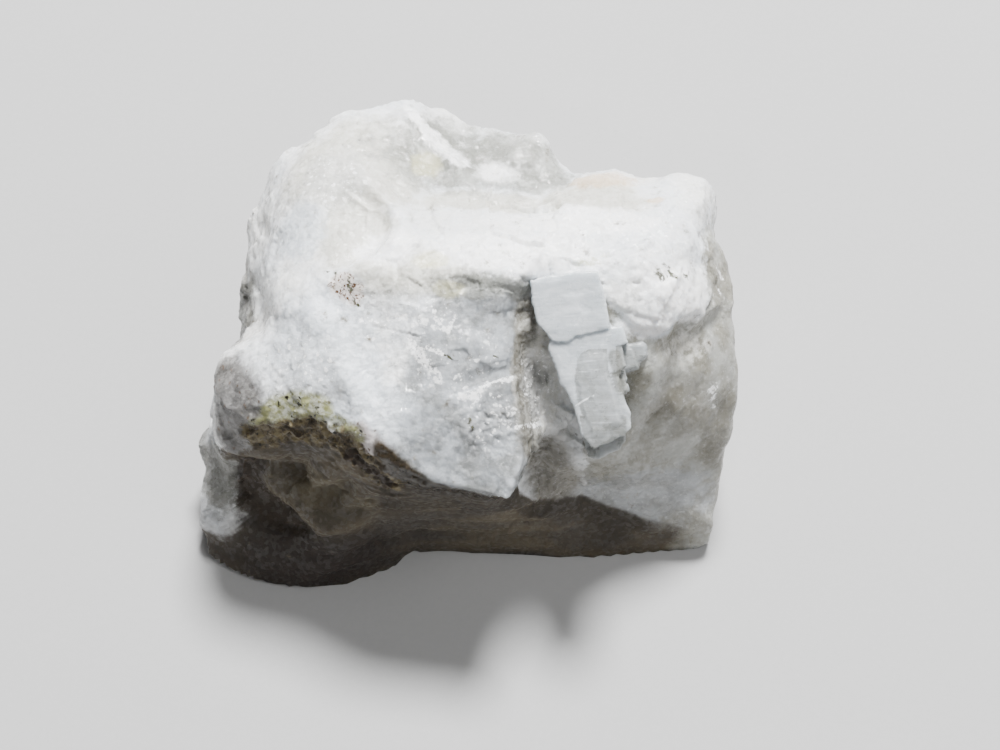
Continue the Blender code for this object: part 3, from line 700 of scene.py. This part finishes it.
def oneSolid(shells, name):
    # the shells made one solid, on a grid of voxels
    starts = np.cumsum([0] + [len(points) for points, faces in shells])
    points = np.concatenate([points for points, faces in shells])
    loose = makeObject("loose crystals", points, np.concatenate(
        [faces + start for (_, faces), start in zip(shells, starts)]))
    remesh = loose.modifiers.new("one solid", "REMESH")
    remesh.mode = "VOXEL"
    remesh.voxel_size = block["voxel"]
    mesh = finishedMesh(loose)
    faces = np.empty(len(mesh.loops), np.int32)
    mesh.loops.foreach_get("vertex_index", faces)
    faces = largestPart(faces.reshape(-1, 4), len(mesh.vertices))
    used, index = np.unique(faces, return_inverse=True)
    piece = makeObject(name, readPoints(mesh)[used] * mm, index.reshape(faces.shape))
    bpy.data.objects.remove(loose)
    return piece


def inOutline(spots, outline):
    # whether each (across, down) lies in the outline: an odd number of its sides are passed
    inside = np.zeros(len(spots), bool)
    for (x0, y0), (x1, y1) in zip(outline, outline[1:] + outline[:1]):
        crossing = (y0 > spots[:, 1]) != (y1 > spots[:, 1])
        reach = x0 + (spots[:, 1] - y0) / (y1 - y0 if y1 != y0 else 1.0) * (x1 - x0)
        inside ^= crossing & (spots[:, 0] < reach)
    return inside


shells = [crystalShell(name, 400 + 20 * number) for number, name in enumerate(crystals)]
blockPiece = oneSolid(shells, "fluorite_block_crystals")
onFace = (readPoints(blockPiece.data) / mm - np.array(block["corner"])) @ faceTurn * (1, -1, 1)
clear = np.zeros(len(onFace))
for name, share in clearer.items():
    outline = strip if name == "strip" else crystals[name][0]
    clear = np.where(inOutline(onFace, outline), share, clear)
addLayer(blockPiece, "clear", np.maximum(clear, 0.8 * ramp(-1.2, -2.4, onFace[:, 2])))
print("block:", len(blockPiece.data.polygons), "faces")

# materials


class Wire:
    # an output in a material's nodes; arithmetic on it adds the nodes that work it out
    def __init__(self, tree, socket):
        self.tree = tree
        self.socket = socket

    def node(self, kind, output, inputs, **settings):
        # a node by its type, its settings, and the values or links of its sockets
        added = self.tree.nodes.new(kind)
        for name, value in settings.items():
            setattr(added, name, value)
        for name, value in inputs.items():
            if isinstance(value, Wire):
                self.tree.links.new(value.socket, added.inputs[name])
            else:
                added.inputs[name].default_value = value
        return Wire(self.tree, added.outputs[output])

    def maths(self, operation, *values):
        return self.node("ShaderNodeMath", 0, dict(enumerate(values)), operation=operation)

    def vector(self, operation, *values, output=0):
        return self.node("ShaderNodeVectorMath", output, dict(enumerate(values)), operation=operation)

    def scale(self, vector, factor):
        return self.node("ShaderNodeVectorMath", 0, {0: vector, "Scale": factor}, operation="SCALE")

    def __add__(self, other):
        return self.maths("ADD", self, other)

    def __sub__(self, other):
        return self.maths("SUBTRACT", self, other)

    def __rsub__(self, other):
        return self.maths("SUBTRACT", other, self)

    def __mul__(self, other):
        return self.maths("MULTIPLY", self, other)

    __radd__ = __add__
    __rmul__ = __mul__

    def over(self, low, high):
        # 0 below low, 1 above high, and smooth between
        return self.node("ShaderNodeMapRange", 0, {0: self, 1: low, 2: high}, interpolation_type="SMOOTHSTEP")

    def mixed(self, below, above):
        # the colour below where this is 0, and the colour above where it is 1
        below, above = (c if isinstance(c, Wire) else (*c, 1) for c in (below, above))
        return self.node("ShaderNodeMix", 2, {0: self, 6: below, 7: above}, data_type="RGBA")

    def noise(self, size, detail=3.0, roughness=0.55, output="Fac"):
        # noise at these coordinates, with features of about this size in mm, around 0.5
        inputs = {"Vector": self, "Scale": 1 / (size * mm), "Detail": detail, "Roughness": roughness}
        return self.node("ShaderNodeTexNoise", output, inputs)

    def cells(self, size, output="Distance"):
        # cells round scattered points: the distance from the nearest, its place or colour
        return self.node("ShaderNodeTexVoronoi", output, {"Vector": self, "Scale": 1 / (size * mm)})

    def facets(self, size):
        # cells of about this size, each a plane through its own middle with its own tilt
        tilt = self.vector("SUBTRACT", self.cells(size, "Color"), middleGrey)
        away = self.vector("SUBTRACT", self, self.cells(size, "Position"))
        return self.vector("DOT_PRODUCT", away, tilt, output=1) * (1 / (size * mm))

    def mapped(self, **settings):
        # these coordinates turned or drawn out
        return self.node("ShaderNodeMapping", 0, {"Vector": self, **settings})

    def widthsFrom(self, line):
        # the distance from a line, in its widths; these coordinates are flattened first, so
        # that a mark also reaches a little up and down
        start, end = (Vector(corner) * Vector(flattened) * mm for corner in (line[:3], line[3:6]))
        along = end - start
        away = self.vector("SUBTRACT", self, start)
        part = away.vector("DOT_PRODUCT", away, along / along.length_squared, output=1)
        part = part.node("ShaderNodeClamp", 0, {"Value": part})
        return away.vector("DISTANCE", away, part.scale(along, part), output=1) * (1 / (line[6] * mm))

    def near(self, *lines):
        # 1 on the nearest of some lines, fading to 0 at its width
        nearest = self.widthsFrom(lines[0])
        for line in lines[1:]:
            nearest = nearest.maths("MINIMUM", nearest, self.widthsFrom(line))
        return nearest.over(1.0, 0.55)


def painted(wire, name):
    return wire.node("ShaderNodeAttribute", "Fac", {}, attribute_name=name)


def newMaterial(name, constants, rimmed=False):
    # with a rim: where the next piece goes on, light would be lost through the walls, so a
    # shader that it doesn't sink into takes over there
    material = bpy.data.materials.new(name)
    material.use_nodes = True
    tree = material.node_tree
    shader = tree.nodes["Principled BSDF"]
    for socket, value in constants.items():
        shader.inputs[socket].default_value = value
    spot = Wire(tree, tree.nodes.new("ShaderNodeTexCoord").outputs["Object"])
    if rimmed:
        opaque = spot.node("ShaderNodeBsdfPrincipled", 0, {"IOR": constants["IOR"]})
        sorts = {0: painted(spot, "rim"), 1: Wire(tree, shader.outputs[0]), 2: opaque}
        mixture = spot.node("ShaderNodeMixShader", 0, sorts)
        tree.links.new(mixture.socket, tree.nodes["Material Output"].inputs["Surface"])
    return material, spot


def feed(wire, socket):
    # into this socket of the shader, or of both
    for node in wire.tree.nodes:
        if node.type == "BSDF_PRINCIPLED":
            wire.tree.links.new(wire.socket, node.inputs[socket])


def bumped(height, distance):
    # small relief from a height, this many mm deep
    feed(height.node("ShaderNodeBump", 0, {"Height": height, "Distance": distance * mm}), "Normal")


flattened = (1, 1, 0.3)  # how much of a mark's length each way counts
middleGrey = (0.5, 0.5, 0.5)
whitest = (1.0, 1.0, 1.0)

# marks in the stone: both ends and the width in mm
darkMarks = [
    (18.2, -1.3, 31.7, 18.7, -1.7, 31.4, 0.48), (19, -0.5, 31.6, 20, -1.5, 31, 0.34),
    (18.5, -1.9, 31.4, 19.1, -2.9, 30.8, 0.24), (21, -0.5, 31, 21.6, -1, 30.8, 0.26),
    (18.6, -0.8, 31.5, 19.3, -1.7, 31.2, 0.2), (19.7, -3.5, 29.8, 20, -3.7, 29.6, 0.14),
    (-10.3, -2.2, 32.3, -10.1, -3.1, 32, 0.24), (-11.6, -1.3, 32.3, -11.4, -1.5, 32.3, 0.16),
    (-9.9, -3.8, 31.8, -9.4, -4.4, 31.6, 0.15), (-12.4, -1, 32.1, -12.2, -1.2, 32.1, 0.14),
    (-1.8, -8.8, 30.6, -0.4, -9.3, 30.2, 0.16), (3.2, -8.9, 29.8, 3.5, -8.9, 29.8, 0.18),
    (0.9, -14.2, 27.1, 1.3, -14.8, 26.9, 0.2), (6.1, -10.8, 26.4, 6.9, -10.4, 26, 0.2),
]
rustMarks = [
    (-11.2, -2.4, 32.2, -9.8, -3.4, 31.9, 1.2), (-10.4, -2, 32.3, -10.1, -2.3, 32.3, 0.6),
]
oliveMarks = [
    (10.6, -0.6, 33.8, 12.8, -0.3, 33.7, 0.55), (12, -0.1, 33.8, 13.6, 0.4, 33.6, 0.5),
]
# painted glints: white marks where cracks and facets catch the light
glints = [  # bright cracks and facets that catch the light
    (-4.4, -8.1, 30.6, -1.9, -10.9, 29.6, 0.55), (-3.9, -5.9, 31, -3.2, -6.2, 31.1, 0.45),
    (-2.3, -6.6, 31.5, -0.9, -6.9, 31.3, 0.4), (-3, -8.3, 30.6, -1.6, -8.9, 30.3, 0.25),
    (0.2, -12.3, 28.5, 1.6, -12.1, 28.6, 0.5), (1.6, -12, 28.6, 2.6, -11, 28.7, 0.38),
    (2.6, -11, 28.7, 4.8, -10.5, 28.6, 0.24), (5.9, -10.9, 26.3, 8.2, -9.9, 25, 0.16),
    (5.3, -14.4, 25.9, 7.6, -12.2, 22.6, 0.26), (23.6, -7.4, 19, 24.8, -6.5, 19.8, 0.24),
    (23.9, -7.7, 18.2, 24.7, -7.1, 18.7, 0.18), (23.2, -8.6, 16.8, 24.6, -7.7, 17.4, 0.2),
    (22.5, -7.4, 19.6, 23.1, -7, 19.9, 0.14), (-5.6, -5.6, 31.2, -4.9, -5.8, 31.2, 0.3),
    (-2.6, -5, 31.8, -2, -6.2, 31.5, 0.2), (-0.9, -6.9, 31.3, -0.5, -5.6, 31.6, 0.18),
    (-4.8, -7.3, 30.8, -4.3, -7.9, 30.6, 0.28), (-0.2, -10.4, 29.6, 0.9, -11.2, 29.1, 0.2),
    (1, -13.2, 27.9, 1.6, -12.5, 28.2, 0.16), (3, -13.4, 27.5, 4.3, -14.3, 26.8, 0.16),
    (4.4, -12.4, 27.8, 4.6, -15.2, 26.3, 0.15), (1.8, -15.4, 26.5, 3.2, -16.2, 26, 0.18),
    (2.2, -17.2, 25.4, 4, -17.4, 25, 0.16), (24.9, 2.6, 26.2, 25.5, 2.2, 25.6, 0.35),
    (25, 0.9, 25.6, 25.6, 0.5, 25, 0.35),
]
# a painted reflection: the white streak where the glossy hollow mirrors the light
gloss = [
    (-4.8, 17.7, 30.5, -3, 15.6, 29.9, 0.65), (-3, 15.6, 29.9, -0.2, 12.8, 29.6, 1.25),
    (-0.3, 16.1, 29.9, 0.3, 15.4, 29.8, 0.5),
]


def showsOn(piece, line):
    # whether the piece has a point within a millimetre of a line's width
    start, end = np.multiply((line[:3], line[3:6]), flattened)
    away = fromLine(readPoints(piece.data) / mm * flattened, start, end)
    return lengths(away).min() < line[6] + 1


def stoneColour(spot, piece):
    # a pale ground and the layers over it, each where its mask is 1
    ragged = spot.noise(1.6, 5.0, 0.68)
    grain = spot.noise(0.45, 4.0, 0.7)
    blotch = spot.noise(1.1, 5.0, 0.75).over(0.42, 0.58)
    cloudy = spot.noise(3.2, 4.0, 0.6)
    sway = spot.vector("SUBTRACT", spot.noise(0.5, output="Color"), middleGrey)
    bent = spot.vector("ADD", spot, spot.scale(sway, 0.9 * mm))
    hidden = painted(spot, "hidden")

    def laid(name, soft=0.3, torn=1.5):
        # the paint of this name, its edge torn by the ragged noise
        value = painted(spot, name) + (ragged - 0.5) * torn
        return value.over(0.5 - soft, 0.5 + soft)

    def marked(lines, share):
        # the lines that reach this piece, bent by the sway
        lines = [line for line in lines if showsOn(piece, line)]
        return bent.vector("MULTIPLY", bent, flattened).near(*lines) * share if lines else None

    vein = spot.noise(7.0, 3.0, 0.6) - 0.5
    vein = vein.maths("ABSOLUTE", vein).over(0.014, 0.004) * hidden
    # painted sparkles: white cells that stand for tiny facets catching the light, laid where the sparkle
    # paint is
    fineSparkles = bent.cells(0.32).over(0.30, 0.16) * bent.cells(0.32, "Color").over(0.52, 0.56)
    sparkles = bent.cells(0.7).over(0.32, 0.24) * bent.cells(0.7, "Color").over(0.56, 0.60)
    bright = fineSparkles.maths("MAXIMUM", fineSparkles, sparkles) * laid("sparkleArea", 0.4)
    rustGrain = bent.cells(0.28).over(0.50, 0.36) * grain.over(0.44, 0.50)
    dots = bent.cells(0.9).over(0.24, 0.14)
    black = bent.cells(0.8).over(0.32, 0.18) * spot.noise(1.8, 2.0).over(0.46, 0.56)
    along = spot.mapped(Scale=(0.35, 0.6, 1.0)).noise(3.2, 2.0, 0.5).over(0.36, 0.64)
    layers = [
        (spot.noise(9, 4, 0.6).over(0.44, 0.58) * hidden * 0.85,
            ragged.over(0.4, 0.6).mixed((0.25, 0.24, 0.2), (0.42, 0.41, 0.37))),
        (vein * ragged.over(0.4, 0.6) * 0.5, (0.36, 0.27, 0.17)),
        (laid("cream") * 0.9, (0.57, 0.56, 0.5)),
        (laid("tongue", 0.4) * 0.95,
            spot.noise(2.6, 4, 0.6).over(0.38, 0.62).mixed((0.25, 0.26, 0.26), (0.4, 0.425, 0.45))),
        (laid("side", 0.2, 1.9), cloudy.over(0.4, 0.64).mixed((0.245, 0.236, 0.198), (0.39, 0.393, 0.367))),
        (laid("frost") * 0.85, (0.62, 0.66, 0.7)),
        (laid("glassy") * 0.9, cloudy.over(0.38, 0.66).mixed((0.19, 0.195, 0.17), (0.35, 0.355, 0.33))),
        (laid("sill") * 0.9, cloudy.over(0.4, 0.6).mixed((0.28, 0.285, 0.28), (0.38, 0.395, 0.41))),
        # pale beige in the valley, lightened as painted light where it lies in shade
        (laid("valley", 0.2) * 0.9, blotch.mixed((0.74, 0.72, 0.65), (0.82, 0.81, 0.78))),
        # beige grey on the tongue's right ridge, darkened with painted shade
        (laid("amberShade", 0.3, 1) * 0.95, blotch.mixed((0.12, 0.112, 0.088), (0.22, 0.212, 0.183))),
        # painted shade in the hollow under the valley and on the middle of the side
        (laid("hollowShade", 0.5, 0.7) * 0.9,
            cloudy.over(0.42, 0.58).mixed((0.125, 0.112, 0.085), (0.175, 0.16, 0.126))),
        # grey-beige stone at the left end, darkened with painted shade
        (laid("leftGreyShade") * 0.9, cloudy.over(0.4, 0.6).mixed((0.085, 0.083, 0.066), (0.21, 0.207, 0.185))),
        (laid("white") * 0.95, (0.95, 0.95, 0.95)),
        # white patches on the glassy hollow
        (laid("whitePatches", 0.4) * 0.9, (0.95, 0.95, 0.95)),
        (laid("tan") * 0.6, (0.66, 0.49, 0.31)),
        (laid("yellow") * 0.45, (0.66, 0.63, 0.36)),
        (grain.over(0.52, 0.75) * 0.3, (0.93, 0.94, 0.95)),
        (laid("sparkleArea", 0.4) * 0.35, (0.5, 0.515, 0.53)),
        # the painted sparkles
        (bright * 0.95, whitest),
        (marked(oliveMarks, blotch * 0.75), (0.36, 0.37, 0.19)),
        (marked(rustMarks, 0.45), (0.58, 0.46, 0.36)),
        (marked(rustMarks, rustGrain), (0.1, 0.05, 0.022)),
        (marked(darkMarks, grain.over(0.35, 0.5)), (0.07, 0.07, 0.04)),
        # the painted glints
        (marked(glints, grain.over(0.43, 0.49)), whitest),
        # the painted reflection on the glossy hollow
        (marked(gloss, 0.6 + 0.4 * blotch), whitest),
        (laid("rose") * 0.55, (0.42, 0.32, 0.28)),
        # the ledge at the left end: a pinkish grey darkened with painted shade
        (laid("ledge", 0.45, 1.2) * 0.9, blotch.mixed((0.06, 0.054, 0.048), (0.13, 0.122, 0.113))),
        (dots * (laid("rose") + laid("ledge") + laid("moss")).over(0.1, 0.6) * 0.8, (0.1, 0.06, 0.035)),
        (laid("moss", 0.35) * (0.55 + 0.4 * blotch), (0.24, 0.245, 0.095)),
        # painted shade in brown on the front wall and under the crest, along its layers
        (laid("umberShade", 0.25, 0.8) * 0.97, along.mixed((0.036, 0.026, 0.014), (0.082, 0.062, 0.032))),
        # the bulge: an olive grey, darkened with painted shade
        (laid("bulge", 0.25, 0.7) * 0.9,
            cloudy.over(0.35, 0.65).mixed((0.065, 0.053, 0.034), (0.125, 0.105, 0.066))),
        # the low lobe: dark brown made near black with painted shade
        (laid("lobe", 0.5, 0.6) * 0.95, cloudy.mixed((0.016, 0.01, 0.007), (0.023, 0.015, 0.011))),
        (laid("tips", 0.5, 0.9) * 0.9, (0.4, 0.41, 0.42)),
        # painted shade at the top of the front wall, under the overhang
        (laid("overhangShade", 0.5, 0.7) * 0.7, (0.024, 0.017, 0.01)),
        (laid("dirt", 0.25, 2.4), blotch.mixed((0.042, 0.029, 0.014), (0.15, 0.12, 0.06))),
        (black * (laid("dirt") + laid("moss")).over(0.1, 0.5), (0.012, 0.01, 0.006)),
        # painted shade in the cavity and in the hollow under the crest
        (laid("cave", 0.25), (0.035, 0.024, 0.015)),
    ]
    colour = spot.noise(6).over(0.35, 0.65).mixed((0.78, 0.78, 0.765), (0.75, 0.775, 0.8))
    for mask, tone in layers:
        if mask:
            colour = mask.mixed(colour, tone)
    return colour


def albiteMaterial(name, piece):
    # the sugary white stone, which light sinks into a little
    look = looks[name]
    material, spot = newMaterial(name, look["shader"], rimmed=True)
    feed(stoneColour(spot, piece), "Base Color")
    # rougher on the dirt band and where the front's painted shade lies
    dirtAndShade = spot.maths("MINIMUM", painted(spot, "dirt") + painted(spot, "umberShade"), 1.0)
    shine = spot.cells(0.42, "Color").over(0.55, 0.62) * (0.28 + 0.12 * painted(spot, "sparkleArea"))
    feed((look["gloss"] - 0.22 * painted(spot, "glassy")) - shine + 0.35 * dirtAndShade, "Roughness")
    grains = spot.noise(0.5, 4.0, 0.7) * 0.25
    bumped(spot.facets(0.42) * 0.3 + spot.facets(1.1) * 0.5 + grains, look["bump"])
    return material


def glassMaterial(name, piece):
    # half-clear fluorite in broken facets, with duller patches
    look = looks[name]
    material, spot = newMaterial(name, look["shader"], rimmed=True)
    feed(stoneColour(spot, piece), "Base Color")
    dull = spot.noise(2.0, 4.0, 0.6).over(0.40, 0.66)
    feed(look["gloss"] + 0.35 * dull * spot.cells(0.6, "Color").over(0.3, 0.6), "Roughness")
    bumped(spot.facets(0.6) * 0.4 + spot.facets(1.7) * 0.8 + spot.noise(0.5, 4.0) * 0.25, look["bump"])
    return material


def onBlock(across, down, height):
    # a place on the block's broken face, in mm
    return tuple(np.array(block["corner"]) + faceTurn @ np.array((across, -down, height)))


def blockMaterial(name):
    # milky fluorite with fine striae across the face, and clearer parts
    look = looks[name]
    material, spot = newMaterial(name, look["shader"])
    lean = (math.radians(-block["turn"][0]), 0, -0.07)
    lines = spot.mapped(Rotation=lean).mapped(Scale=(0.1, 1, 0.6)).noise(0.45, 4, 0.65)
    haze = spot.noise(1.6, 4, 0.65).over(0.35, 0.65)
    bent = spot.vector("MULTIPLY", spot, flattened)
    layers = [
        (painted(spot, "clear") * 0.9, haze.mixed((0.2, 0.205, 0.19), (0.3, 0.315, 0.32))),
        (lines.over(0.57, 0.7) * spot.noise(2.4, 2).over(0.4, 0.62) * 0.8, (0.74, 0.77, 0.8)),
        (lines.over(0.42, 0.32) * 0.35, (0.34, 0.36, 0.37)),
        (bent.near(look["shade"]) * 0.7, haze.mixed((0.12, 0.12, 0.1), (0.26, 0.265, 0.25))),
        (bent.near(look["crack"]) * haze.over(0.3, 0.6), (0.85, 0.87, 0.88)),
    ]
    colour = spot.noise(3).over(0.35, 0.65).mixed((0.47, 0.505, 0.53), (0.56, 0.59, 0.615))
    for mask, tone in layers:
        colour = mask.mixed(colour, tone)
    feed(colour, "Base Color")
    feed(look["gloss"] + 0.25 * haze, "Roughness")
    bumped(lines * 0.2 + spot.noise(0.4) * 0.12 + spot.facets(1.5) * 0.18, look["bump"])
    return material


def shaderValues(ior, depth, tint, clear=0.0, coat=0.0):
    # the shader's constants; depth, in mm, is how far light sinks in
    return {"IOR": ior, "Subsurface Weight": 1.0, "Subsurface Scale": depth * mm, "Subsurface Radius": tint,
        "Transmission Weight": clear, "Coat Weight": coat, "Coat Roughness": 0.12}


looks = {  # gloss is the roughness before patches, bump is in mm
    "sugary albite": {"gloss": 0.48, "bump": 0.42, "shader": shaderValues(1.53, 0.32, (1, 0.97, 0.92))},
    "glassy fluorite": {"gloss": 0.06, "bump": 0.5,
        "shader": shaderValues(1.434, 1.4, (1, 0.98, 0.95), 0.14)},
    "cloudy fluorite": {"gloss": 0.16, "bump": 0.3,
        "shader": shaderValues(1.434, 2, (1, 0.98, 0.95), 0.12)},
    "milky fluorite": {"gloss": 0.2, "bump": 0.35,
        "shader": shaderValues(1.434, 1.3, (0.92, 0.97, 1), 0.1, 0.15),
        "crack": (*onBlock(4.1, 11.5, -0.3), *onBlock(5.7, 10.7, -0.3), 0.10),
        "shade": (*onBlock(7.7, 7.2, -0.6), *onBlock(8.6, 10.2, -1.0), 0.8)},
}
finishes = [
    (albite, "albite_matrix", "albite", albiteMaterial("sugary albite", albite)),
    (tongue, "fluorite_tongue", "fluorite_glassy", glassMaterial("glassy fluorite", tongue)),
    (side, "fluorite_side", "fluorite_cloudy", glassMaterial("cloudy fluorite", side)),
    (blockPiece, "fluorite_block", "fluorite_milky", blockMaterial("milky fluorite")),
]
for piece, node, slot, material in finishes:
    piece.data.materials.append(material)
    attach(piece, "root")
    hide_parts(node)
print("materials: done")

# floor, light and camera

studio = {  # each light: place and size in metres, power in watts
    "floor": 0.38,
    "reach": 3.0,  # how far the floor goes
    "ambient": 0.10,
    "key": ((0.07, 0.25, 0.55), 0.15, 15.5),
    "fill": ((0.30, -0.12, 0.50), 0.40, 1.6),
    "glint": ((-0.10, -0.31, 0.42), 0.03, 0.35),
}
view = {"target": (3.721, -2.907, 15.0), "distance": 200.0, "elevation": 62.0, "lens": 72.0}

corners = np.array([(-1, -1, 0), (1, -1, 0), (1, 1, 0), (-1, 1, 0)])
floor = makeObject("floor", corners * studio["reach"], np.array([[0, 1, 2, 3]]))
paper, spot = newMaterial("pale paper", {"Roughness": 0.9})
tones = [[studio["floor"] * share] * 3 for share in (0.94, 1.06)]
feed(spot.noise(0.7, 5.0, 0.7).mixed(*tones), "Base Color")
floor.data.materials.append(paper)


def addLamp(name, place, size, watts):
    # a round area light that faces the stone's middle
    lamp = bpy.data.lights.new(name, "AREA")
    lamp.shape = "DISK"
    lamp.size = size
    lamp.energy = watts
    holder = bpy.data.objects.new(name, lamp)
    holder.location = place
    holder.rotation_euler = (-Vector(place)).to_track_quat("-Z", "Y").to_euler()
    bpy.context.scene.collection.objects.link(holder)


for name in ("key", "fill", "glint"):
    addLamp(name, *studio[name])
world = bpy.data.worlds.new("room")
bpy.context.scene.world = world
world.use_nodes = True
background = world.node_tree.nodes["Background"]
background.inputs["Color"].default_value = (1, 1, 1, 1)
background.inputs["Strength"].default_value = studio["ambient"]

rise = math.radians(view["elevation"])
lens = bpy.data.cameras.new("camera")
lens.lens = view["lens"]
lens.clip_start = 0.01
camera = bpy.data.objects.new("camera", lens)
back = Vector((0, -math.cos(rise), math.sin(rise)))
camera.location = (Vector(view["target"]) + back * view["distance"]) * mm
camera.rotation_euler = Euler((math.pi / 2 - rise, 0, 0))
bpy.context.scene.collection.objects.link(camera)
bpy.context.scene.camera = camera
